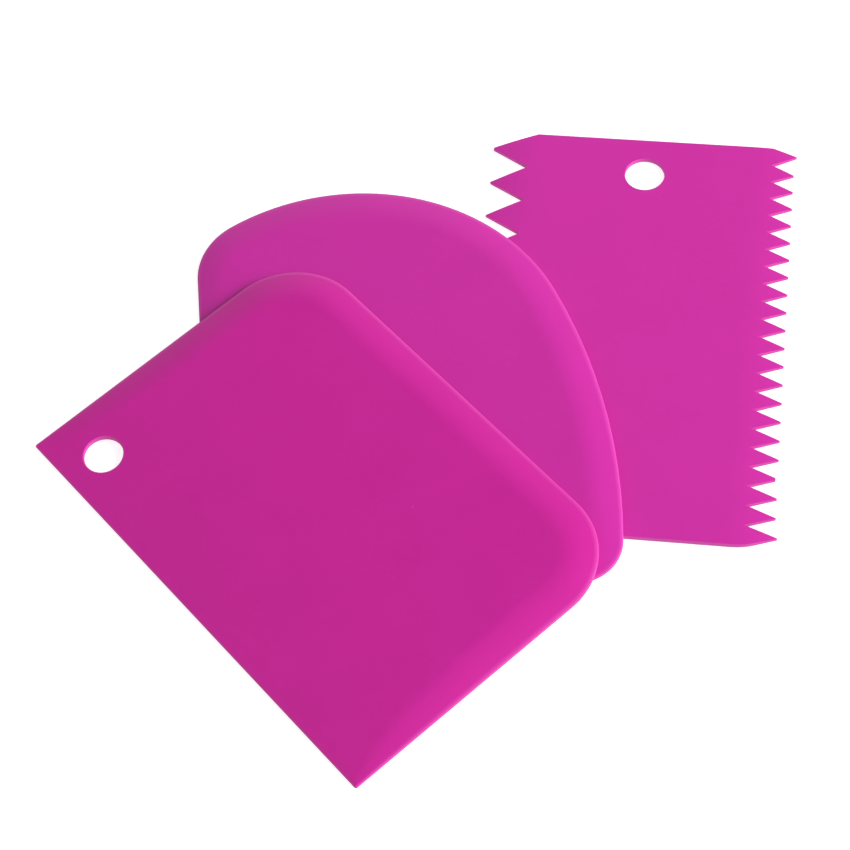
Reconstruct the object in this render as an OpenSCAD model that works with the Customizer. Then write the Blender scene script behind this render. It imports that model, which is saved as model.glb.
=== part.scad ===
// Icing smoothers: a fanned pile of three thin plastic scrapers, each moulded in one piece.
// A toothed comb lies flat on the table, a bowl scraper with a domed back leans on it, and a
// straight scraper lies over both. The origin is on the table under the middle of the comb,
// with +X towards the comb's fine teeth, +Y towards its hang hole and +Z up.

/* [Comb] */
// Length of the comb, between its two plain edges
comb_l = 110.4; // [90:0.1:150]
// Width of the comb, from tooth tip to tooth tip between its corners
comb_w = 72; // [60:1:90]
// Thickness of the comb's plate
comb_t = 1.2; // [0.9:0.1:2.4]
// Thickness at the tips of its teeth
comb_tip_t = 0.6; // [0.4:0.05:0.8]
// Width of the stretch that thins towards the teeth on each side
comb_thin_w = 10.5; // [8:0.5:16]
// Distance between two fine teeth
fine_pitch = 5; // [3:0.5:8]
// Depth of the fine teeth at the hang hole end
fine_depth = 5.2; // [3:0.1:7]
// Depth of the fine teeth at the other end
fine_depth_end = 6.7; // [3:0.1:8]
// Distance between two coarse teeth
coarse_pitch = 10; // [6:1:20]
// Depth of the coarse teeth
coarse_depth = 8.6; // [5:0.2:12]
// Depth of the comb's corners on the coarse side
coarse_corner = 10.3; // [6:0.1:14]
// Reach of the four corner teeth past the others
corner_reach = 0.5; // [0:0.1:1]
// Flat left on the tip of each tooth
tooth_flat = 0.3; // [0.1:0.1:1]
// Diameter of the comb's hang hole
comb_hole_d = 9.4; // [5:0.2:12]
// Distance from the comb's plain edge to the middle of its hang hole
comb_hole_inset = 10.4; // [8:0.1:16]
// Distance of the comb's hang hole from the middle of its width
comb_hole_x = 0.7; // [-10:0.1:10]

/* [Bowl scraper] */
// Lean of its two ends, outwards from the blade
bowl_flare = 45.5; // [30:0.5:60]
// Straight run from the blade up its left end
bowl_end_l = 24.5; // [15:0.5:40]
// Radius of its left shoulder
bowl_left_r = 16.5; // [10:0.5:24]
// Turn of its left shoulder
bowl_left_turn = 62; // [50:1:70]
// Radius of the dome
bowl_dome_r = 52.5; // [45:0.5:60]
// Turn of the dome
bowl_dome_turn = 99; // [90:1:110]
// Radius of its long gentle side
bowl_side_r = 150; // [120:5:180]
// Turn of its long gentle side
bowl_side_turn = 26.5; // [20:0.5:30]
// Radius of its right shoulder
bowl_right_r = 10.5; // [10:0.5:16]
// Thickness at the top of the dome
bowl_t = 1.9; // [1.6:0.1:4]
// Diameter of its hang hole
bowl_hole_d = 9; // [5:0.2:12]
// Distance of its hang hole from the blade
bowl_hole_inset = 11; // [9:0.5:16]
// Distance of its hang hole from the left end of the blade, measured along the blade
bowl_hole_side = 8; // [6:0.5:20]

/* [Straight scraper] */
// Length of the blade
straight_l = 113.5; // [90:0.5:150]
// Width, from the blade to the back
straight_w = 78.5; // [60:0.5:100]
// Radius of the two back corners
straight_r = 18; // [12:1:30]
// Thickness along the back
straight_t = 2.2; // [1.6:0.1:4]
// Diameter of its hang hole
straight_hole_d = 9; // [5:0.2:12]
// Distance of its hang hole from the blade
straight_hole_inset = 9.9; // [8:0.1:20]
// Distance of its hang hole from the end of the blade
straight_hole_side = 13.2; // [10:0.1:30]

/* [Blades and lips] */
// Thickness of both blades and of the rim round the lips
blade_t = 0.7; // [0.5:0.05:1]
// How soon both plates thicken behind the blade, where 1 is a plain wedge
thicken = 3.5; // [1:0.1:4]
// Width of the rounded lip where the plates are thickest
lip_w = 8.5; // [3:0.5:9]

/* [Pile] */
// Clearance between one scraper and the one that it lies on
rest_gap = 0.1; // [0.05:0.05:0.5]
// Middle of the bowl scraper's blade, across the comb
bowl_x = -57.1; // [-70:0.1:-50]
// Middle of the bowl scraper's blade, along the comb
bowl_y = -44.4; // [-55:0.1:-35]
// Direction of the bowl scraper's blade
bowl_turn = -33.5; // [-45:0.1:-25]
// Middle of the straight scraper's blade, across the comb
straight_x = -88.6; // [-100:0.1:-80]
// Middle of the straight scraper's blade, along the comb
straight_y = -81.3; // [-90:0.1:-70]
// Direction of the straight scraper's blade
straight_turn = -42.2; // [-50:0.1:-35]

/* [Hidden] */
magenta = "#d0369f";
hole_fn = 96;
thin_fn = 720;

// Steps along one straight run, degrees of one step round an arc, and steps across a lip
run_steps = 6;
arc_step = 5;
lip_steps = 6;
// Two points whose distances from the blade differ by less than this are level
level = 0.01;

// A cutter reaches this far past what it cuts
past = 1;

// Outline of a blade scraper. It starts at the left end of the blade and runs clockwise round
// the back. A station is [x, y, heading] and a stretch is [0, length] or [radius, turn].

function run_stations(at, length) =
    [for (i = [1:run_steps]) let (d = length*i/run_steps)
        [at.x + d*cos(at[2]), at.y + d*sin(at[2]), at[2]]];

function arc_stations(at, r, turn) =
    let (steps = ceil(turn/arc_step))
    [for (i = [1:steps]) let (heading = at[2] - turn*i/steps)
        [at.x + r*(sin(at[2]) - sin(heading)), at.y + r*(cos(heading) - cos(at[2])), heading]];

function stretch_stations(at, stretch) =
    stretch[0] == 0 ? run_stations(at, stretch[1]) : arc_stations(at, stretch[0], stretch[1]);

function last(list) = list[len(list) - 1];

function walk(at, stretches, i = 0) =
    i == len(stretches) ? [at] :
    concat([at], tail_walk(stretch_stations(at, stretches[i]), stretches, i + 1));

function tail_walk(stations, stretches, i) =
    concat([for (k = [0:1:len(stations) - 2]) stations[k]], walk(last(stations), stretches, i));

// The same outline with the middle of its blade at the origin
function centred(outline) =
    let (mid = (outline[0].x + last(outline).x)/2)
    [for (s = outline) [s.x - mid, s.y, s[2]]];

function reach(outline) = max([for (s = outline) s.y]);

straight_outline = walk([-straight_l/2, 0, 90], [
    [0, straight_w - straight_r],
    [straight_r, 90],
    [0, straight_l - 2*straight_r],
    [straight_r, 90],
    [0, straight_w - straight_r]]);

// The right end leans as the left one does, and its run is as long as it takes to reach the blade
bowl_back = walk([0, 0, 90 + bowl_flare], [
    [0, bowl_end_l],
    [bowl_left_r, bowl_left_turn],
    [bowl_dome_r, bowl_dome_turn],
    [bowl_side_r, bowl_side_turn],
    [bowl_right_r, 2*(90 + bowl_flare) - bowl_left_turn - bowl_dome_turn - bowl_side_turn]]);
bowl_right_end_l = last(bowl_back).y/cos(bowl_flare);
bowl_outline = centred(concat(
    [for (k = [0:len(bowl_back) - 2]) bowl_back[k]],
    walk(last(bowl_back), [[0, bowl_right_end_l]])));

// A blade scraper is thin at the blade and thickens fast behind it and slowly towards the back.
// Its upper edge is rounded over into a lip, which widens as the plate thickens.

// Share of the thickness beyond the blade's that the plate has at a distance y from the blade
function filled(y, depth) = 1 - pow(1 - y/depth, thicken);
function face_z(y, depth, back_t) = blade_t + (back_t - blade_t)*filled(y, depth);
function lip_width(y, depth) = lip_w*sqrt(filled(y, depth));

// Share of its drop that the lip still has to climb, from 1 on the rim to 0 on its crest, which
// it reaches without an edge
function left_to_climb(across) = (1 - across)*(1 - across)*(2 + across)/2;

// Point of the upper skin at one station, with across = 0 on the rim and 1 on the lip's crest
function skin_point(s, across, depth, back_t) =
    let (in = across*lip_width(s.y, depth), y = s.y - in*cos(s[2]),
        drop = face_z(s.y, depth, back_t) - blade_t)
    [s.x + in*sin(s[2]), y, face_z(y, depth, back_t) - drop*left_to_climb(across)];

function skin_ring(outline, across, depth, back_t) =
    [for (i = [1:len(outline) - 2]) skin_point(outline[i], across, depth, back_t)];

// Triangles between the left side, which ends at i, and the right side, which ends at j, upwards
// from the blade. The left side goes first where both are level, so that none lies along the back.
function ladder(ys, i, j) =
    j - i < 2 ? [] :
    ys[i + 1] < ys[j - 1] + level ? concat([[i, i + 1, j]], ladder(ys, i + 1, j)) :
    concat([[i, j - 1, j]], ladder(ys, i, j - 1));

module lipped_plate(outline, back_t) {
    depth = reach(outline);
    n = len(outline);
    m = n - 2;
    left = n + m*(lip_steps + 1);
    right = left + 1;
    rings = [for (j = [0:lip_steps]) skin_ring(outline, j/lip_steps, depth, back_t)];
    points = concat(
        [for (s = outline) [s.x, s.y, 0]],
        [for (ring = rings) each ring],
        [for (s = [outline[0], last(outline)]) [s.x, s.y, blade_t]]);
    function skin(j, i) = i == 0 ? left : i == n - 1 ? right : n + m*j + i - 1;
    underside = [for (t = ladder([for (s = outline) s.y], 0, n - 1)) [t[2], t[1], t[0]]];
    face = [for (t = ladder(concat([0], [for (p = rings[lip_steps]) p.y], [0]), 0, n - 1))
        [for (i = t) skin(lip_steps, i)]];
    walls = [for (i = [0:n - 1]) let (k = (i + 1)%n) [i, k, skin(0, k), skin(0, i)]];
    lip_out = [for (j = [0:lip_steps - 1], i = [0:n - 3])
        [skin(j, i), skin(j, i + 1), skin(j + 1, i + 1)]];
    lip_in = [for (j = [0:lip_steps - 1], i = [1:n - 2])
        [skin(j, i), skin(j + 1, i + 1), skin(j + 1, i)]];
    polyhedron(points, concat(underside, face, walls, lip_out, lip_in));
}

module hang_hole(x, y, d, t) {
    translate([x, y, -past]) cylinder(d = d, h = t + 2*past, $fn = hole_fn);
}

// The scrapers lie as the photographed ones do, and how far each one tips comes from what it
// lies on. The bowl scraper's left shoulder is on the table and its back is on the comb.

function turned(p, angle) = [p.x*cos(angle) - p.y*sin(angle), p.x*sin(angle) + p.y*cos(angle)];
function bowl_plan(p) = [bowl_x, bowl_y] + turned(p, bowl_turn);
function straight_local(p) = turned(p - [straight_x, straight_y], -straight_turn);

comb_crest_x = comb_w/2 - comb_thin_w;
bowl_touch_x = min([for (s = bowl_outline) bowl_plan(s).x]);
bowl_tip = atan((comb_t + rest_gap)/(-comb_crest_x - bowl_touch_x));

// The straight scraper's blade is on the table, and it tips until it clears the bowl scraper's
// face, which is felt on lines from the middle of its blade to the crest of its lip
bowl_depth = reach(bowl_outline);
feel_steps = 8;
bowl_felt = [for (c = skin_ring(bowl_outline, 1, bowl_depth, bowl_t), k = [1:feel_steps])
    let (share = k/feel_steps) [c.x*share, c.y*share, face_z(c.y*share, bowl_depth, bowl_t)]];
near_edge = 5;
function under_straight(p) =
    abs(p.x) < straight_l/2 + near_edge && p.y > near_edge && p.y < straight_w + near_edge;
straight_tips = [for (c = bowl_felt)
    let (plan = bowl_plan(c), under = straight_local(plan))
    if (under_straight(under))
        atan(((plan.x - bowl_touch_x)*tan(bowl_tip) + c.z + rest_gap)/under.y)];
straight_tip = max(concat([0], straight_tips));

module bowl_place() {
    translate([bowl_touch_x, 0, 0]) rotate([0, -bowl_tip, 0])
        translate([bowl_x - bowl_touch_x, bowl_y, 0]) rotate(bowl_turn) children();
}

module straight_place() {
    translate([straight_x, straight_y, 0]) rotate(straight_turn)
        rotate([straight_tip, 0, 0]) children();
}

// Outline of one toothed side, from the hang hole end to the other. side is 1 or -1. The valleys
// run straight from depths[0] to depths[1], and corners are the depths of the two plain corners.

function tooth_y(i, n, pitch) = (n - 1)*pitch/2 - i*pitch;
function tip_x(i, n) = comb_w/2 + (i == 0 || i == n - 1 ? corner_reach : 0);
function valley_x(y, depths) = comb_w/2 - depths[0] - (depths[1] - depths[0])*(1/2 - y/comb_l);

function toothed_side(side, pitch, depths, corners) =
    let (n = floor(comb_l/pitch))
    concat(
        [[side*(comb_w/2 - corners[0]), comb_l/2]],
        [for (i = [0:n - 1], end = [0, 1, 2]) let (y = tooth_y(i, n, pitch), gap_y = y - pitch/2)
            if (end < 2 || i < n - 1)
            end == 0 ? [side*tip_x(i, n), y + tooth_flat/2] :
            end == 1 ? [side*tip_x(i, n), y - tooth_flat/2] :
            [side*valley_x(gap_y, depths), gap_y]],
        [[side*(comb_w/2 - corners[1]), -comb_l/2]]);

function backwards(list) = [for (i = [len(list) - 1:-1:0]) list[i]];

module comb_outline() {
    fine = [fine_depth, fine_depth_end];
    polygon(concat(
        toothed_side(1, fine_pitch, fine, fine),
        backwards(toothed_side(-1, coarse_pitch, [coarse_depth, coarse_depth],
            [coarse_corner, coarse_corner]))));
}

// Cross-section of the comb: flat in the middle, and thinned on a large radius towards the teeth
module comb_section() {
    drop = comb_t - comb_tip_t;
    thin_r = (comb_thin_w*comb_thin_w + drop*drop)/(2*drop);
    translate([-comb_crest_x, 0]) square([2*comb_crest_x, comb_t]);
    for (side = [0, 1]) mirror([side, 0]) intersection() {
        translate([comb_crest_x, comb_t - thin_r]) circle(r = thin_r, $fn = thin_fn);
        translate([comb_crest_x, 0]) square([comb_thin_w + corner_reach, comb_t]);
    }
}

module comb_scraper() {
    color(magenta) difference() {
        intersection() {
            linear_extrude(comb_t) comb_outline();
            rotate([90, 0, 0]) linear_extrude(comb_l + 2*past, center = true) comb_section();
        }
        hang_hole(comb_hole_x, comb_l/2 - comb_hole_inset, comb_hole_d, comb_t);
    }
}

module bowl_scraper() {
    color(magenta) bowl_place() difference() {
        lipped_plate(bowl_outline, bowl_t);
        hang_hole(bowl_outline[0].x + bowl_hole_side, bowl_hole_inset, bowl_hole_d, bowl_t);
    }
}

module straight_scraper() {
    color(magenta) straight_place() difference() {
        lipped_plate(straight_outline, straight_t);
        hang_hole(straight_hole_side - straight_l/2, straight_hole_inset, straight_hole_d,
            straight_t);
    }
}

comb_scraper();
bowl_scraper();
straight_scraper();
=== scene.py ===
"""A fanned pile of three satin magenta plastic scrapers on a white table: comb, bowl and straight."""

import logging
import math
from collections.abc import Callable
from dataclasses import dataclass, field
from enum import Enum
from functools import partial
from typing import NamedTuple

import bmesh
import bpy
from mathutils import Matrix, Vector


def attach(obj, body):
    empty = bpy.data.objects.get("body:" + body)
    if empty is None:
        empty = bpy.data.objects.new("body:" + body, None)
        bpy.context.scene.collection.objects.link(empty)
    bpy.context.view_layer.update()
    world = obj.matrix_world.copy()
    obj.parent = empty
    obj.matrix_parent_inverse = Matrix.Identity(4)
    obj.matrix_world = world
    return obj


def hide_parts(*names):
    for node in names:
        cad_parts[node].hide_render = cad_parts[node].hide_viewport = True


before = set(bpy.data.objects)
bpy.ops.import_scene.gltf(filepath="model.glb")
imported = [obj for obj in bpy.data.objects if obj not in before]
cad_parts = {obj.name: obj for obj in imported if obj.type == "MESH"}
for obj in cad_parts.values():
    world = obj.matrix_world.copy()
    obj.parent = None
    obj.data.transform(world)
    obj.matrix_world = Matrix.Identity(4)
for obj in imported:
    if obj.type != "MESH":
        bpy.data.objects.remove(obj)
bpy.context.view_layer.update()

MM = 0.001
UP = Vector((0, 0, 1))
# The rim attribute: how much each rim is polished and given the painted highlight, upper rims fully and
# lower rims half.
RIM_POLISH_AND_HIGHLIGHT = "rim_polish_and_highlight"
LOWER_RIM_POLISH_AND_HIGHLIGHT = 0.5
UPPER_RIM_POLISH_AND_HIGHLIGHT = 1.0
WELD = 0.001 * MM
NOISE_MIDDLE = 0.5
WHITE = (1, 1, 1, 1)
Offset = tuple[float, float]
FlatPoint = tuple[float, float]
Profile = Callable[[Vector, Vector], Offset]
Paint = tuple[float, float, float, float]
MeshPart = bmesh.types.BMVert | bmesh.types.BMEdge | bmesh.types.BMFace

log = logging.getLogger("scrapers")


class Signal:
    """One shader socket that Python's operators work on."""

    def __init__(self, bench: "ShaderBench", socket: bpy.types.NodeSocket) -> None:
        """Holds the socket and the bench that its next nodes go on.

        Args:
            bench: The material's bench.
            socket: The output socket.
        """
        self.bench = bench
        self.socket = socket

    def _math(self, operation: str, *operands: "Signal | float") -> "Signal":
        """Adds one Math node.

        Args:
            operation: The node's operation.
            *operands: Its inputs in order.

        Returns:
            The node's output.
        """
        names = ("Value", "Value_001")
        return self.bench.add(
            "ShaderNodeMath", {"operation": operation}, dict(zip(names, operands)), "Value"
        )

    def __add__(self, other: "Signal | float") -> "Signal":
        """This signal plus the other."""
        return self._math("ADD", self, other)

    def __radd__(self, other: float) -> "Signal":
        """A number plus this signal."""
        return self._math("ADD", other, self)

    def __sub__(self, other: "Signal | float") -> "Signal":
        """This signal minus the other."""
        return self._math("SUBTRACT", self, other)

    def __rsub__(self, other: float) -> "Signal":
        """A number minus this signal."""
        return self._math("SUBTRACT", other, self)

    def __mul__(self, other: "Signal | float") -> "Signal":
        """This signal times the other."""
        return self._math("MULTIPLY", self, other)

    def __rmul__(self, other: float) -> "Signal":
        """A number times this signal."""
        return self._math("MULTIPLY", other, self)

    def ramp(self, low: float, high: float) -> "Signal":
        """A smooth step over this signal.

        Args:
            low: Where the result is 0.
            high: Where the result is 1, which may be the lower of the two.

        Returns:
            The step, from 0 to 1.
        """
        settings = {"interpolation_type": "SMOOTHSTEP"}
        start, end = (0.0, 1.0) if low < high else (1.0, 0.0)
        values = {
            "Value": self,
            "From Min": min(low, high),
            "From Max": max(low, high),
            "To Min": start,
            "To Max": end,
        }
        return self.bench.add("ShaderNodeMapRange", settings, values, "Result")


class ShaderBench:
    """The node tree of one material, or of the surroundings, while it is being made."""

    def __init__(self, owner: bpy.types.Material | bpy.types.World) -> None:
        """Clears the tree.

        Args:
            owner: What the tree belongs to.
        """
        owner.use_nodes = True
        self.tree = owner.node_tree
        self.tree.nodes.clear()

    def add(self, kind: str, settings: dict, values: dict, output: str) -> Signal:
        """Adds any one node.

        Args:
            kind: The node's type.
            settings: Properties of the node, set before its sockets.
            values: Numbers, colours or signals by the input's identifier.
            output: Identifier of the output that is wanted.

        Returns:
            That output.
        """
        node = self.tree.nodes.new(kind)
        for name, value in settings.items():
            setattr(node, name, value)
        inputs = {socket.identifier: socket for socket in node.inputs}
        for name, value in values.items():
            if isinstance(value, Signal):
                self.tree.links.new(value.socket, inputs[name])
            else:
                inputs[name].default_value = value
        outputs = {socket.identifier: socket for socket in node.outputs}
        return Signal(self, outputs[output])

    def finish(self, shader: Signal, output: str = "ShaderNodeOutputMaterial") -> None:
        """Links the last shader to the surface.

        Args:
            shader: The last shader.
            output: The type of the tree's output node.
        """
        surface = self.tree.nodes.new(output).inputs["Surface"]
        self.tree.links.new(shader.socket, surface)


@dataclass(frozen=True)
class SatinPolypropylene:
    """Satin polypropylene, coloured right through, with a painted highlight of lighter pink along its
    rims, which are also a little polished.
    """

    name: str
    colour: tuple[float, float, float]
    roughness: float = 0.5
    shine: float = 1.0
    darkest: float = 0.955
    lightest: float = 1.045
    cloud_size: float = 14 * MM
    cloud_shade: float = 0.9
    cloud_roughness: float = 0.06
    mottle_size: float = 1.6 * MM
    mottle_shade: float = 0.8
    mottle_roughness: float = 0.1
    mottle_height: float = 0.4
    grain_size: float = 0.45 * MM
    grain_height: float = 0.6
    bump_strength: float = 0.35
    bump_depth: float = 0.02 * MM
    speck_colour: Paint = (0.93, 0.62, 0.83, 1)
    speck_cover: float = 0.2
    speck_gap: float = 7 * MM
    speck_size: float = 0.22 * MM
    speck_core: float = 0.4
    speck_cells: tuple[float, float] = (0.68, 0.7)
    # Colour and share of the painted highlight along the rims.
    rim_highlight_colour: Paint = (0.92, 0.2, 0.62, 1)
    rim_highlight_cover: float = 0.16
    worn_polish: float = 0.08

    def material(self) -> bpy.types.Material:
        """The finish as a material.

        Returns:
            A material on Object coordinates and on the piece's rim attribute, which smooths the rims
            and paints a highlight of lighter pink on them.
        """
        material = bpy.data.materials.new(self.name)
        bench = ShaderBench(material)
        place = bench.add("ShaderNodeTexCoord", {}, {}, "Object")
        rim_polish_and_highlight = bench.add("ShaderNodeAttribute", {"attribute_name": RIM_POLISH_AND_HIGHLIGHT}, {}, "Fac")
        cloud = self._noise(bench, place, self.cloud_size, detail=2)
        mottle = self._noise(bench, place, self.mottle_size, detail=3)
        grain = self._noise(bench, place, self.grain_size, detail=2)
        speck = self._specks(bench, place)

        clouded = (cloud - NOISE_MIDDLE) * self.cloud_shade
        shade = NOISE_MIDDLE + clouded + (mottle - NOISE_MIDDLE) * self.mottle_shade
        body = self._mix(bench, shade, self._scaled(self.darkest), self._scaled(self.lightest))
        dusted = self._mix(bench, speck * self.speck_cover, body, self.speck_colour)
        # Painted highlight: a lighter, whiter pink mixed into the colour along the rims, where light
        # catches the rounded edges.
        highlighted = self._mix(bench, rim_polish_and_highlight * self.rim_highlight_cover, dusted, self.rim_highlight_colour)
        roughness = (
            self.roughness
            + (mottle - NOISE_MIDDLE) * self.mottle_roughness
            + (cloud - NOISE_MIDDLE) * self.cloud_roughness
            - rim_polish_and_highlight * self.worn_polish
        )
        height = grain * self.grain_height + mottle * self.mottle_height
        bump = {"Strength": self.bump_strength, "Distance": self.bump_depth, "Height": height}
        normal = bench.add("ShaderNodeBump", {}, bump, "Normal")
        values = {
            "Base Color": highlighted,
            "Roughness": roughness,
            "Specular IOR Level": self.shine,
            "Normal": normal,
        }
        bench.finish(bench.add("ShaderNodeBsdfPrincipled", {}, values, "BSDF"))
        return material

    def _scaled(self, factor: float) -> Paint:
        """The colour made darker or lighter."""
        return (*(channel * factor for channel in self.colour), 1)

    def _noise(self, bench: ShaderBench, place: Signal, size: float, detail: float) -> Signal:
        """Noise whose features are about one size.

        Args:
            bench: The material's bench.
            place: The coordinates.
            size: Size of one feature, in metres.
            detail: Octaves.

        Returns:
            The noise, from 0 to 1.
        """
        values = {"Vector": place, "Scale": 1 / size, "Detail": detail}
        return bench.add("ShaderNodeTexNoise", {}, values, "Fac")

    def _specks(self, bench: ShaderBench, place: Signal) -> Signal:
        """A few small light specks of dust and scuffing, in some cells only.

        Args:
            bench: The material's bench.
            place: The coordinates.

        Returns:
            1 on a speck and 0 elsewhere.
        """
        values = {"Vector": place, "Scale": 1 / self.speck_gap}
        near = bench.add("ShaderNodeTexVoronoi", {}, values, "Distance")
        cell = bench.add("ShaderNodeTexVoronoi", {}, values, "Color")
        pick = bench.add("ShaderNodeSeparateColor", {}, {"Color": cell}, "Red")
        size = self.speck_size / self.speck_gap
        return near.ramp(size, size * self.speck_core) * pick.ramp(*self.speck_cells)

    def _mix(
        self, bench: ShaderBench, factor: Signal, low: Signal | Paint, high: Signal | Paint
    ) -> Signal:
        """A colour between two colours.

        Args:
            bench: The material's bench.
            factor: The share of the second colour.
            low: The first colour or signal.
            high: The second colour or signal.

        Returns:
            The mixed colour.
        """
        settings = {"data_type": "RGBA", "clamp_factor": True}
        values = {"Factor_Float": factor, "A_Color": low, "B_Color": high}
        return bench.add("ShaderNodeMix", settings, values, "Result_Color")


class Arc(NamedTuple):
    """An arc of an outline, by its radius and by its turn in degrees."""

    radius: float
    turn: float


class OutlinePen:
    """Draws a chain of edges on the table, one straight run or arc after another."""

    def __init__(self, mesh: bmesh.types.BMesh, start: Vector, heading: float, step: float) -> None:
        """Puts the pen down.

        Args:
            mesh: The mesh that is drawn in.
            start: The first point.
            heading: The direction of the first run, in degrees from +X.
            step: The most that one edge of an arc turns, in degrees.
        """
        self.mesh = mesh
        self.tip = mesh.verts.new(start)
        self.start = start
        self.heading = heading
        self.step = step

    def run(self, length: float, steps: int = 1) -> None:
        """Draws straight on.

        Args:
            length: Length of the run.
            steps: Number of edges.
        """
        angle = math.radians(self.heading)
        stride = Vector((math.cos(angle), math.sin(angle), 0)) * length / steps
        for _ in range(steps):
            self.run_to(self.tip.co + stride)

    def run_to(self, point: Vector) -> None:
        """Draws one edge to a point.

        Args:
            point: Its far end.
        """
        grown = bmesh.ops.extrude_vert_indiv(self.mesh, verts=[self.tip])
        self.tip = grown["verts"][0]
        self.tip.co = point

    def turn(self, radius: float, angle: float) -> None:
        """Draws an arc clockwise.

        Args:
            radius: Radius of the arc.
            angle: The turn, in degrees.
        """
        heading = math.radians(self.heading)
        centre = self.tip.co + radius * Vector((math.sin(heading), -math.cos(heading), 0))
        swept = bmesh.ops.spin(
            self.mesh,
            geom=[self.tip],
            cent=centre,
            axis=UP,
            angle=-math.radians(angle),
            steps=math.ceil(angle / self.step),
        )
        self.tip = swept["geom_last"][0]
        self.heading -= angle

    def close(self) -> list[bmesh.types.BMVert]:
        """Welds the last point to the first.

        Returns:
            The points of the closed outline in order.
        """
        bmesh.ops.remove_doubles(self.mesh, verts=self.mesh.verts, dist=WELD)
        return list(self.mesh.verts)


class RimLoft:
    """A plate's edge, grown ring by ring from a closed outline that has the plate on its right."""

    def __init__(self, mesh: bmesh.types.BMesh, outline: list[bmesh.types.BMVert]) -> None:
        """Notes where the outline runs and which way leads into the plate.

        Args:
            mesh: The mesh that the outline is in.
            outline: Its points in order.
        """
        self.mesh = mesh
        self.ring = outline
        self.rim_polish_and_highlight = mesh.verts.layers.float[RIM_POLISH_AND_HIGHLIGHT]
        self.stations = [vert.co.copy() for vert in outline]
        self.inward = [self._mitre(index) for index in range(len(outline))]
        self.first = self.edges()

    def _mitre(self, index: int) -> Vector:
        """The way into the plate, as long as it takes to move both edges in by one.

        Args:
            index: The station.

        Returns:
            The mitred direction.
        """
        here = self.stations[index]
        before = (here - self.stations[index - 1]).normalized()
        after = (self.stations[(index + 1) % len(self.stations)] - here).normalized()
        sides = before.cross(UP) + after.cross(UP)
        return sides / (1 + before.dot(after))

    def edges(self) -> list[bmesh.types.BMEdge]:
        """The edges round the present ring."""
        return [self.mesh.edges.get((vert, self.ring[i - 1])) for i, vert in enumerate(self.ring)]

    def place(self, profile: Profile, rim_polish_and_highlight: float) -> None:
        """Moves the present ring to its place.

        Args:
            profile: Where the ring lies at each station.
            rim_polish_and_highlight: The ring's share of rim polish and of painted rim highlight, from
                0 to 1.
        """
        for vert, station, inward in zip(self.ring, self.stations, self.inward):
            depth, height = profile(station, inward)
            vert.co = station + inward * depth
            vert.co.z = height
            vert[self.rim_polish_and_highlight] = rim_polish_and_highlight

    def grow(self, profile: Profile, rim_polish_and_highlight: float) -> None:
        """Extrudes the present ring and moves the new one to its place.

        Args:
            profile: Where the new ring lies at each station.
            rim_polish_and_highlight: The ring's share of rim polish and of painted rim highlight, from
                0 to 1.
        """
        grown = bmesh.ops.extrude_edge_only(self.mesh, edges=self.edges())["geom"]
        fresh = {item for item in grown if isinstance(item, bmesh.types.BMVert)}
        self.ring = [self._partner(vert, fresh) for vert in self.ring]
        self.place(profile, rim_polish_and_highlight)

    @staticmethod
    def _partner(vert: bmesh.types.BMVert, fresh: set[bmesh.types.BMVert]) -> bmesh.types.BMVert:
        """The new point that was extruded from an old one."""
        return next(edge.other_vert(vert) for edge in vert.link_edges if edge.other_vert(vert) in fresh)


@dataclass
class HangHole:
    """A round hole through a plate."""

    x: float
    y: float
    radius: float
    segments: int = 96

    def outline(self, mesh: bmesh.types.BMesh) -> list[bmesh.types.BMVert]:
        """Draws the hole's circle.

        Args:
            mesh: The plate's mesh.

        Returns:
            Its points in order, with the plate on their right.
        """
        centre = Vector((self.x, self.y, 0))
        made = bmesh.ops.create_circle(
            mesh,
            cap_ends=False,
            radius=self.radius,
            segments=self.segments,
            matrix=Matrix.Translation(centre),
        )["verts"]
        return sorted(made, key=lambda vert: math.atan2(*(vert.co - centre).yx))


@dataclass(frozen=True)
class EdgeSection:
    """Cross-section of one closed edge of a scraper, as where its rings lie."""

    scraper: "Scraper"
    lip: bool

    def height(self, station: Vector, inward: Vector, depth: float) -> float:
        """Height of the upper skin.

        Args:
            station: A point of the outline.
            inward: The way into the plate.
            depth: Distance from the outline.

        Returns:
            The height there.
        """
        face = self.scraper.face_height(station + inward * depth)
        if not self.lip:
            return face
        across = min(depth / self.scraper.lip_width(station), 1)
        return face - self.scraper.lip_drop(station, across)

    def across_underside(self, beyond: float, station: Vector, inward: Vector) -> Offset:
        """A ring of the flat underside.

        Args:
            beyond: Distance from the lower rim.
            station: A point of the outline.
            inward: The way into the plate.

        Returns:
            How far into the plate the ring lies and how high.
        """
        return self.scraper.rim + beyond, 0.0

    def round_lower_rim(self, turned: float, station: Vector, inward: Vector) -> Offset:
        """A ring of the lower rim, which is rounded from the underside to the wall.

        Args:
            turned: The place on the rim, from 0 to 1.
            station: A point of the outline.
            inward: The way into the plate.

        Returns:
            How far into the plate the ring lies and how high.
        """
        rim = self.scraper.rim
        return rim * (1 - turned) ** 2, rim * turned**2

    def round_upper_rim(self, turned: float, station: Vector, inward: Vector) -> Offset:
        """A ring of the upper rim, which is rounded from the wall to the upper skin.

        Args:
            turned: The place on the rim, from 0 to 1.
            station: A point of the outline.
            inward: The way into the plate.

        Returns:
            How far into the plate the ring lies and how high.
        """
        rim = self.scraper.rim
        top = self.height(station, inward, 0)
        far = self.height(station, inward, rim)
        left = 1 - turned
        return rim * turned**2, (top - rim) * left**2 + 2 * top * turned * left + far * turned**2

    def across_lip(self, share: float, beyond: float, station: Vector, inward: Vector) -> Offset:
        """A ring of the lip, or of the upper face where there is no lip.

        Args:
            share: The place on the lip, from 0 at the rim to 1 at its crest.
            beyond: Distance past that place.
            station: A point of the outline.
            inward: The way into the plate.

        Returns:
            How far into the plate the ring lies and how high.
        """
        rim = self.scraper.rim
        width = self.scraper.lip_width(station) if self.lip else rim
        depth = rim + (width - rim) * share + beyond
        return depth, self.height(station, inward, depth)


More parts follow.
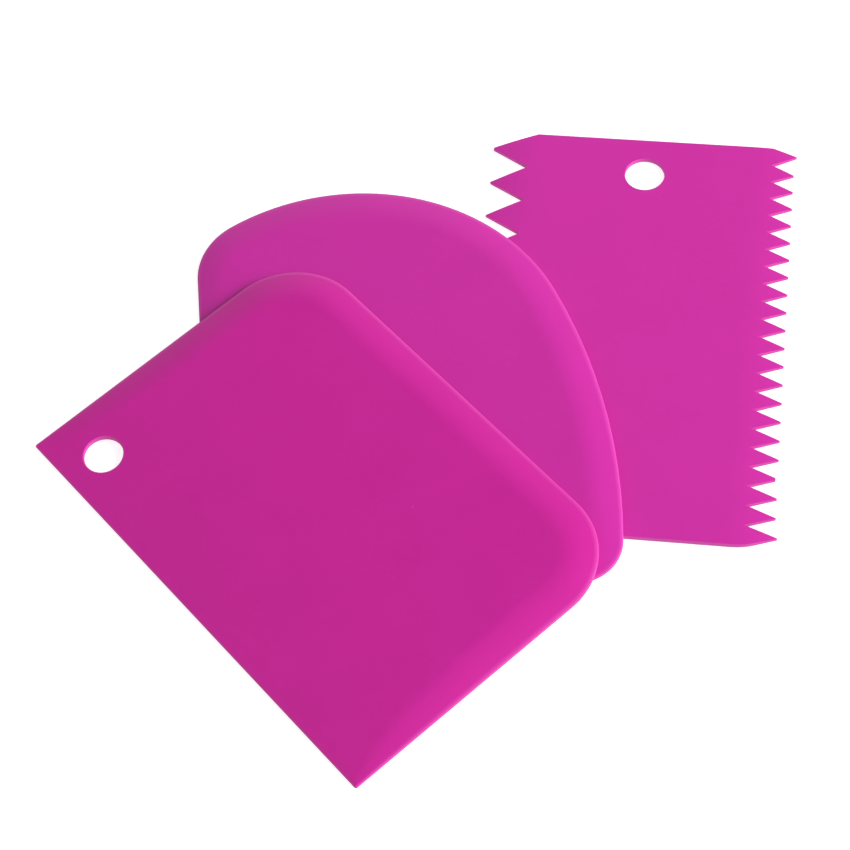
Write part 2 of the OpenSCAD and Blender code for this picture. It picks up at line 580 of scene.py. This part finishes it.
@dataclass
class Scraper:
    """A scraper moulded in one piece, with every rim rounded over."""

    node: str
    body: str
    slot: str
    finish: SatinPolypropylene
    hole: HangHole
    seat: Matrix
    rim: float = 0.32 * MM
    margin: float = 0.04 * MM
    rim_steps: int = 3
    lip_steps: int = 0
    arc_step: float = 2.5
    sharp_angle: float = 40

    def outline(self, mesh: bmesh.types.BMesh) -> list[bmesh.types.BMVert]:
        """Draws the outline.

        Args:
            mesh: The scraper's mesh.

        Returns:
            Its points in order, clockwise from above.
        """
        raise NotImplementedError

    def face_height(self, point: Vector) -> float:
        """Height of the upper face.

        Args:
            point: A point of the plate.

        Returns:
            The height over it.
        """
        raise NotImplementedError

    def lip_width(self, station: Vector) -> float:
        """Width of the rounded lip.

        Args:
            station: A point of the outline.

        Returns:
            The width there, which is that of the rim where there is no lip.
        """
        return self.rim

    def lip_drop(self, station: Vector, across: float) -> float:
        """How far the lip lies under the upper face.

        Args:
            station: A point of the outline.
            across: The place on the lip, from 0 at the rim to 1 at its crest.

        Returns:
            The difference in height.
        """
        return 0.0

    def shape(self, mesh: bmesh.types.BMesh, face: list[MeshPart]) -> None:
        """Gives the closed plate its form beyond its rims and lip.

        Args:
            mesh: The scraper's mesh.
            face: The geometry of its upper face.
        """
        raise NotImplementedError

    def build(self) -> None:
        """Models the scraper, dresses it and reports it."""
        mesh = bmesh.new()
        mesh.verts.layers.float.new(RIM_POLISH_AND_HIGHLIGHT)
        edge = RimLoft(mesh, self.outline(mesh))
        self._raise_edge(edge, lip=True)
        bore = RimLoft(mesh, self.hole.outline(mesh))
        self._raise_edge(bore, lip=False)
        for rims in (edge.first + bore.first, edge.edges() + bore.edges()):
            face = bmesh.ops.triangle_fill(mesh, use_beauty=True, edges=rims)["geom"]
        self.shape(mesh, face)
        bmesh.ops.recalc_face_normals(mesh, faces=mesh.faces)
        bmesh.ops.transform(mesh, matrix=self.seat, verts=mesh.verts)
        piece = self._piece(mesh)
        log.info("%s: %d faces", piece.name, len(piece.data.polygons))

    def _raise_edge(self, loft: RimLoft, lip: bool) -> None:
        """Grows one closed edge from the underside, round its rims, to the upper face.

        Args:
            loft: The edge.
            lip: True round the outline, and False round the hole.
        """
        section = EdgeSection(self, lip)
        turns = [step / self.rim_steps for step in range(self.rim_steps + 1)]
        loft.place(partial(section.across_underside, self.margin), 0)
        for turn in turns:
            loft.grow(partial(section.round_lower_rim, turn), LOWER_RIM_POLISH_AND_HIGHLIGHT)
        for turn in turns:
            loft.grow(partial(section.round_upper_rim, turn), UPPER_RIM_POLISH_AND_HIGHLIGHT)
        for step in range(self.lip_steps if lip else 0):
            loft.grow(partial(section.across_lip, (step + 1) / self.lip_steps, 0), 0)
        loft.grow(partial(section.across_lip, 1, self.margin), 0)

    def _piece(self, mesh: bmesh.types.BMesh) -> bpy.types.Object:
        """Makes the modelled mesh a piece of the scene.

        Args:
            mesh: The finished mesh, which is freed.

        Returns:
            The piece, which stands for its CAD node.
        """
        data = bpy.data.meshes.new(f"{self.body}_moulding")
        mesh.to_mesh(data)
        mesh.free()
        data.shade_smooth()
        data.set_sharp_from_angle(angle=math.radians(self.sharp_angle))
        data.materials.append(self.finish.material())
        piece = bpy.data.objects.new(f"{self.body}_moulding", data)
        bpy.context.scene.collection.objects.link(piece)
        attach(piece, self.body)
        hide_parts(self.node)
        return piece


@dataclass
class LippedScraper(Scraper):
    """A plate that thickens behind its blade, with its edge rounded over into a widening lip."""

    width: float = 78.5 * MM
    blade_t: float = 0.7 * MM
    back_t: float = 2.2 * MM
    thicken: float = 3.5
    lip: float = 8.5 * MM
    least_lip: float = 0.4 * MM
    corner: float = 0.5 * MM
    corner_step: float = 10
    stride: float = 2 * MM
    strips: int = 26
    strip_spread: float = 1.5
    lip_steps: int = 10

    def filled(self, y: float) -> float:
        """Share of the thickness beyond the blade's that the plate has.

        Args:
            y: Distance from the blade.

        Returns:
            The share, from 0 at the blade to 1 at the back.
        """
        return 1 - (1 - min(max(y / self.width, 0), 1)) ** self.thicken

    def face_height(self, point: Vector) -> float:
        """Height of the upper face.

        Args:
            point: A point of the plate.

        Returns:
            The height over it.
        """
        return self.blade_t + (self.back_t - self.blade_t) * self.filled(point.y)

    def lip_width(self, station: Vector) -> float:
        """Width of the rounded lip.

        Args:
            station: A point of the outline.

        Returns:
            The width there.
        """
        return max(self.lip * math.sqrt(self.filled(station.y)), self.least_lip)

    def lip_drop(self, station: Vector, across: float) -> float:
        """How far the lip lies under the upper face.

        Args:
            station: A point of the outline.
            across: The place on the lip, from 0 at the rim to 1 at its crest.

        Returns:
            The difference in height.
        """
        drop = (self.back_t - self.blade_t) * self.filled(station.y)
        return drop * (1 - across) ** 2 * (2 + across) / 2

    def shape(self, mesh: bmesh.types.BMesh, face: list[MeshPart]) -> None:
        """Bends the upper face in strips, so that it follows the thickness.

        Args:
            mesh: The scraper's mesh.
            face: The geometry of its upper face.
        """
        for strip in range(1, self.strips):
            behind = self.width * (strip / self.strips) ** self.strip_spread
            cut = bmesh.ops.bisect_plane(
                mesh, geom=face, dist=WELD, plane_co=(0, behind, 0), plane_no=(0, 1, 0)
            )
            face = cut["geom"]
            for item in cut["geom_cut"]:
                if isinstance(item, bmesh.types.BMVert):
                    item.co.z = self.face_height(item.co)

    def pen(self, mesh: bmesh.types.BMesh, blade_end: float, lean: float) -> OutlinePen:
        """Starts the outline with the small corner at the left end of the blade.

        Args:
            mesh: The scraper's mesh.
            blade_end: Distance of the blade's left end from its middle.
            lean: How far the left end leans outwards, in degrees.

        Returns:
            The pen, at the end of the corner.
        """
        start = Vector((self.corner_cut(lean) - blade_end, 0, 0))
        pen = OutlinePen(mesh, start, 180, self.corner_step)
        pen.turn(self.corner, 90 - lean)
        pen.step = self.arc_step
        return pen

    def corner_cut(self, lean: float) -> float:
        """What a small corner takes off each of its two sides."""
        return self.corner * math.tan(math.radians(90 - lean) / 2)

    def run(self, pen: OutlinePen, length: float) -> None:
        """Draws a straight run in strides."""
        pen.run(length, math.ceil(length / self.stride))

    def close(self, pen: OutlinePen, lean: float) -> list[bmesh.types.BMVert]:
        """Ends the outline with the corner at the right end of the blade and the blade itself.

        Args:
            pen: The pen, at the start of that corner.
            lean: How far the right end leans outwards, in degrees.

        Returns:
            The points of the outline in order.
        """
        pen.step = self.corner_step
        pen.turn(self.corner, 90 - lean)
        self.run(pen, pen.tip.co.x - pen.start.x)
        return pen.close()


@dataclass
class StraightScraper(LippedScraper):
    """The scraper with a straight blade, square ends and two round back corners."""

    length: float = 113.5 * MM
    back_corner: float = 18 * MM

    def outline(self, mesh: bmesh.types.BMesh) -> list[bmesh.types.BMVert]:
        """Draws the outline.

        Args:
            mesh: The scraper's mesh.

        Returns:
            Its points in order, clockwise from above.
        """
        end = self.width - self.back_corner - self.corner_cut(0)
        pen = self.pen(mesh, self.length / 2, 0)
        self.run(pen, end)
        pen.turn(self.back_corner, 90)
        self.run(pen, self.length - 2 * self.back_corner)
        pen.turn(self.back_corner, 90)
        self.run(pen, end)
        return self.close(pen, 0)


@dataclass
class BowlScraper(LippedScraper):
    """The scraper with a domed back, shaped to the inside of a bowl."""

    blade_left: float = 47.3249 * MM
    flare: float = 45.5
    left_end: float = 24.5 * MM
    left_shoulder: Arc = Arc(16.5 * MM, 62)
    dome: Arc = Arc(52.5 * MM, 99)
    gentle_side: Arc = Arc(150 * MM, 26.5)
    right_shoulder: Arc = Arc(10.5 * MM, 83.5)

    def outline(self, mesh: bmesh.types.BMesh) -> list[bmesh.types.BMVert]:
        """Draws the outline.

        Args:
            mesh: The scraper's mesh.

        Returns:
            Its points in order, clockwise from above.
        """
        cut = self.corner_cut(self.flare)
        pen = self.pen(mesh, self.blade_left, self.flare)
        self.run(pen, self.left_end - cut)
        for arc in (self.left_shoulder, self.dome, self.gentle_side, self.right_shoulder):
            pen.turn(arc.radius, arc.turn)
        self.run(pen, pen.tip.co.y / math.cos(math.radians(self.flare)) - cut)
        return self.close(pen, self.flare)


class Side(Enum):
    """The two toothed sides of the comb, by the direction of +X."""

    FINE = 1
    COARSE = -1


@dataclass
class Teeth:
    """The teeth along one side of the comb, counted from its hang hole end."""

    side: Side
    pitch: float
    depths: tuple[float, float]
    corners: tuple[float, float]
    first_shift: float = 0.0
    blunt: int | None = None
    blunted_by: float = 0.5 * MM
    flat: float = 0.3 * MM
    corner_reach: float = 0.5 * MM
    last_cut: float = 0.0
    last_steps: int = 4

    def points(self, length: float, half_width: float) -> list[Vector]:
        """The corners of the toothed edge.

        Args:
            length: Length of the comb.
            half_width: Distance of the tips from the middle of the comb.

        Returns:
            The points from the hang hole end to the other.
        """
        count = round(length / self.pitch)
        made = [(half_width - self.corners[0], length / 2)]
        for tooth in range(count):
            y = ((count - 1) / 2 - tooth) * self.pitch
            tip = half_width + (self.corner_reach if tooth in (0, count - 1) else 0)
            flat = self.flat
            if tooth == self.blunt:
                tip -= self.blunted_by
                flat += self.blunted_by * self.pitch / self.depths[1]
            middle = y + (0 if tooth else self.first_shift)
            made += [(tip, middle + flat / 2), (tip, middle - flat / 2)]
            if tooth < count - 1:
                gap = y - self.pitch / 2
                along = 0.5 - gap / length
                depth = self.depths[0] + (self.depths[1] - self.depths[0]) * along
                made.append((half_width - depth, gap))
        made += self._last_corner(made[-1], (half_width - self.corners[1], -length / 2))
        return [Vector((self.side.value * x, y, 0)) for x, y in made]

    def _last_corner(self, tip: FlatPoint, corner: FlatPoint) -> list[FlatPoint]:
        """The comb's corner past the last tooth, rounded if anything is cut off it.

        Args:
            tip: The last point of the last tooth.
            corner: The sharp corner.

        Returns:
            The points that take the corner's place.
        """
        if not self.last_cut:
            return [corner]
        sharp = Vector(corner)
        start = sharp + (Vector(tip) - sharp).normalized() * self.last_cut
        end = sharp - Vector((self.last_cut, 0))
        made = []
        for step in range(self.last_steps + 1):
            turned = step / self.last_steps
            near, far = start.lerp(sharp, turned), sharp.lerp(end, turned)
            made.append(tuple(near.lerp(far, turned)))
        return made


@dataclass
class CombScraper(Scraper):
    """The icing comb: a thin plate with a toothed edge on each of its long sides."""

    length: float = 110.4 * MM
    width: float = 72 * MM
    thickness: float = 1.2 * MM
    tip_thickness: float = 0.6 * MM
    thinned: float = 10.5 * MM
    thin_cuts: int = 12
    rim: float = 0.1 * MM
    margin: float = 0.02 * MM
    teeth: list[Teeth] = field(default_factory=list)

    def outline(self, mesh: bmesh.types.BMesh) -> list[bmesh.types.BMVert]:
        """Draws the outline.

        Args:
            mesh: The comb's mesh.

        Returns:
            Its points in order, clockwise from above.
        """
        fine, coarse = (row.points(self.length, self.width / 2) for row in self.teeth)
        start, *others = fine + coarse[::-1] + fine[:1]
        pen = OutlinePen(mesh, start, 0, self.arc_step)
        for point in others:
            pen.run_to(point)
        return pen.close()

    def face_height(self, point: Vector) -> float:
        """The same height all over, until the comb is thinned.

        Args:
            point: A point of the plate.

        Returns:
            The height over it.
        """
        return self.thickness

    def shape(self, mesh: bmesh.types.BMesh, face: list[MeshPart]) -> None:
        """Thins the comb towards its teeth on a large radius.

        Args:
            mesh: The comb's mesh.
            face: The geometry of its upper face.
        """
        crest = self.width / 2 - self.thinned
        drop = self.thickness - self.tip_thickness
        radius = (self.thinned**2 + drop**2) / (2 * drop)
        for side in Side:
            for cut in range(self.thin_cuts):
                bmesh.ops.bisect_plane(
                    mesh,
                    geom=[*mesh.verts, *mesh.edges, *mesh.faces],
                    dist=WELD,
                    plane_co=(side.value * (crest + self.thinned * cut / self.thin_cuts), 0, 0),
                    plane_no=(1, 0, 0),
                )
        for vert in mesh.verts:
            past = max(abs(vert.co.x) - crest, 0)
            if vert.co.z > self.thickness / 2:
                vert.co.z -= radius - math.sqrt(radius**2 - past**2)


@dataclass
class PhotoCamera:
    """The camera of the photograph, whose frame is square."""

    aim: Vector
    azimuth: float
    elevation: float
    roll: float
    distance: float
    focal_px: float
    frame_px: int = 850
    sensor: float = 36.0

    def place(self) -> None:
        """Makes it the scene's camera."""
        data = bpy.data.cameras.new("photo_camera")
        data.sensor_width = self.sensor
        data.lens = self.sensor * self.focal_px / self.frame_px
        data.clip_start = 10 * MM
        camera = bpy.data.objects.new("photo_camera", data)
        turn = Matrix.Rotation(math.radians(self.azimuth), 4, "Z")
        tilt = Matrix.Rotation(math.radians(90 - self.elevation), 4, "X")
        roll = Matrix.Rotation(math.radians(self.roll), 4, "Z")
        back = Matrix.Translation((0, 0, self.distance))
        camera.matrix_world = Matrix.Translation(self.aim) @ turn @ tilt @ roll @ back
        bpy.context.scene.collection.objects.link(camera)
        bpy.context.scene.camera = camera


@dataclass
class SoftLight:
    """A large square lamp that points at the pile, and may gleam on it."""

    name: str
    azimuth: float
    elevation: float
    watts: float
    gleams: bool = True
    size: float = 1.8
    distance: float = 2.2

    def place(self, aim: Vector) -> None:
        """Hangs the lamp.

        Args:
            aim: What it points at.
        """
        data = bpy.data.lights.new(self.name, "AREA")
        data.energy = self.watts
        data.size = self.size
        lamp = bpy.data.objects.new(self.name, data)
        turn = Matrix.Rotation(math.radians(self.azimuth), 4, "Z")
        tilt = Matrix.Rotation(math.radians(90 - self.elevation), 4, "X")
        lamp.matrix_world = (
            Matrix.Translation(aim) @ turn @ tilt @ Matrix.Translation((0, 0, self.distance))
        )
        lamp.visible_camera = False
        lamp.visible_glossy = self.gleams
        bpy.context.scene.collection.objects.link(lamp)


@dataclass
class Studio:
    """A white table under soft light from all round, with lamps on the right and behind."""

    lights: list[SoftLight]
    sky: float = 0.383
    dimmed: float = 0.9
    dim_towards: tuple[float, float, float] = (-0.113, 0.533, 0.839)
    dim_edge: tuple[float, float] = (0.75, 0.97)
    glow: float = 0.8
    table_size: float = 4.0
    table_white: float = 0.5
    table_roughness: float = 0.9
    table_gap: float = 0.05 * MM

    def build(self, aim: Vector) -> None:
        """Sets the table, the surroundings and the lamps.

        Args:
            aim: The middle of the pile.
        """
        self._table()
        self._surroundings()
        for light in self.lights:
            light.place(aim)
            log.info("%s: %.1f W", light.name, light.watts)
        bpy.context.scene.view_settings.view_transform = "Standard"

    def _table(self) -> None:
        """Lays the white table just under the pile, where the pieces don't mirror it."""
        mesh = bmesh.new()
        below = Matrix.Translation((0, 0, -self.table_gap))
        half = self.table_size / 2
        bmesh.ops.create_grid(mesh, x_segments=1, y_segments=1, size=half, matrix=below)
        data = bpy.data.meshes.new("table_top")
        mesh.to_mesh(data)
        mesh.free()
        material = bpy.data.materials.new("white_table")
        bench = ShaderBench(material)
        values = {
            "Base Color": (self.table_white, self.table_white, self.table_white, 1),
            "Roughness": self.table_roughness,
            "Emission Color": WHITE,
            "Emission Strength": self.glow,
        }
        bench.finish(bench.add("ShaderNodeBsdfPrincipled", {}, values, "BSDF"))
        data.materials.append(material)
        table = bpy.data.objects.new("table_top", data)
        bpy.context.scene.collection.objects.link(table)
        table.visible_glossy = False

    def _surroundings(self) -> None:
        """Makes the surroundings evenly white, but dimmer high up behind the pile."""
        world = bpy.data.worlds.new("white_surroundings")
        bench = ShaderBench(world)
        direction = bench.add("ShaderNodeTexCoord", {}, {}, "Generated")
        settings = {"operation": "DOT_PRODUCT"}
        facing = {"Vector": direction, "Vector_001": self.dim_towards}
        towards = bench.add("ShaderNodeVectorMath", settings, facing, "Value")
        strength = self.sky * (1 - self.dimmed * towards.ramp(*self.dim_edge))
        values = {"Color": WHITE, "Strength": strength}
        background = bench.add("ShaderNodeBackground", {}, values, "Background")
        bench.finish(background, "ShaderNodeOutputWorld")
        bpy.context.scene.world = world


def turned(degrees: float, axis: str) -> Matrix:
    """A turn about one axis."""
    return Matrix.Rotation(math.radians(degrees), 4, axis)


def shifted(x: float, y: float) -> Matrix:
    """A move over the table, in millimetres."""
    return Matrix.Translation((x * MM, y * MM, 0))


def comb_scraper() -> CombScraper:
    """The comb, lying flat under the other two.

    Returns:
        The scraper in its place.
    """
    fine = Teeth(
        side=Side.FINE,
        pitch=5 * MM,
        depths=(5.2 * MM, 6.7 * MM),
        corners=(5.2 * MM, 6.7 * MM),
        first_shift=0.7 * MM,
        blunt=18,
        last_cut=2.5 * MM,
    )
    coarse = Teeth(
        side=Side.COARSE,
        pitch=10 * MM,
        depths=(8.6 * MM, 8.6 * MM),
        corners=(10.3 * MM, 10.3 * MM),
        first_shift=0.4 * MM,
        blunt=0,
        blunted_by=0.3 * MM,
    )
    return CombScraper(
        node="comb_scraper",
        body="comb",
        slot="comb_plastic",
        finish=SatinPolypropylene("comb_magenta", (0.624, 0.0178, 0.363)),
        hole=HangHole(x=0.7 * MM, y=44.8 * MM, radius=4.7 * MM),
        seat=Matrix.Identity(4),
        teeth=[fine, coarse],
    )


def bowl_scraper() -> BowlScraper:
    """The bowl scraper, leaning on the comb.

    Its tip, and the line that it tips about, are those that the CAD source works out.

    Returns:
        The scraper in its place.
    """
    place_x = -57.1
    place_y = -44.4
    turn = -33.5
    touch_x = -102.005
    tip = 0.973502
    leaned = shifted(touch_x, 0) @ turned(-tip, "Y") @ shifted(place_x - touch_x, place_y)
    return BowlScraper(
        node="bowl_scraper",
        body="bowl",
        slot="bowl_plastic",
        finish=SatinPolypropylene("bowl_magenta", (0.612, 0.0159, 0.358)),
        hole=HangHole(x=-39.3249 * MM, y=11 * MM, radius=4.5 * MM),
        seat=leaned @ turned(turn, "Z"),
        width=71.2119 * MM,
        back_t=1.9 * MM,
    )


def straight_scraper() -> StraightScraper:
    """The straight scraper, with its blade on the table and its back on the bowl scraper.

    Its tip is the one that the CAD source works out.

    Returns:
        The scraper in its place.
    """
    place_x = -88.6
    place_y = -81.3
    turn = -42.2
    tip = 2.51532
    return StraightScraper(
        node="straight_scraper",
        body="straight",
        slot="straight_plastic",
        finish=SatinPolypropylene("straight_magenta", (0.601, 0.0070, 0.309)),
        hole=HangHole(x=-43.55 * MM, y=9.9 * MM, radius=4.5 * MM),
        seat=shifted(place_x, place_y) @ turned(turn, "Z") @ turned(tip, "X"),
    )


def main() -> None:
    """Builds the pile, the studio and the camera, and notes how large the pile came out."""
    logging.basicConfig(level=logging.INFO, format="%(name)s: %(message)s")
    for scraper in (comb_scraper(), bowl_scraper(), straight_scraper()):
        scraper.build()
    camera = PhotoCamera(
        aim=Vector((-43.249, -29.684, 0)) * MM,
        azimuth=12.046,
        elevation=57.195,
        roll=-5.983,
        distance=545.03 * MM,
        focal_px=2418.4,
    )
    camera.place()
    key = SoftLight("key_light", azimuth=95, elevation=27, watts=87.7, gleams=False)
    back = SoftLight("back_light", azimuth=192, elevation=20, watts=3)
    Studio(lights=[key, back]).build(camera.aim)


if __name__ == "__main__":
    main()
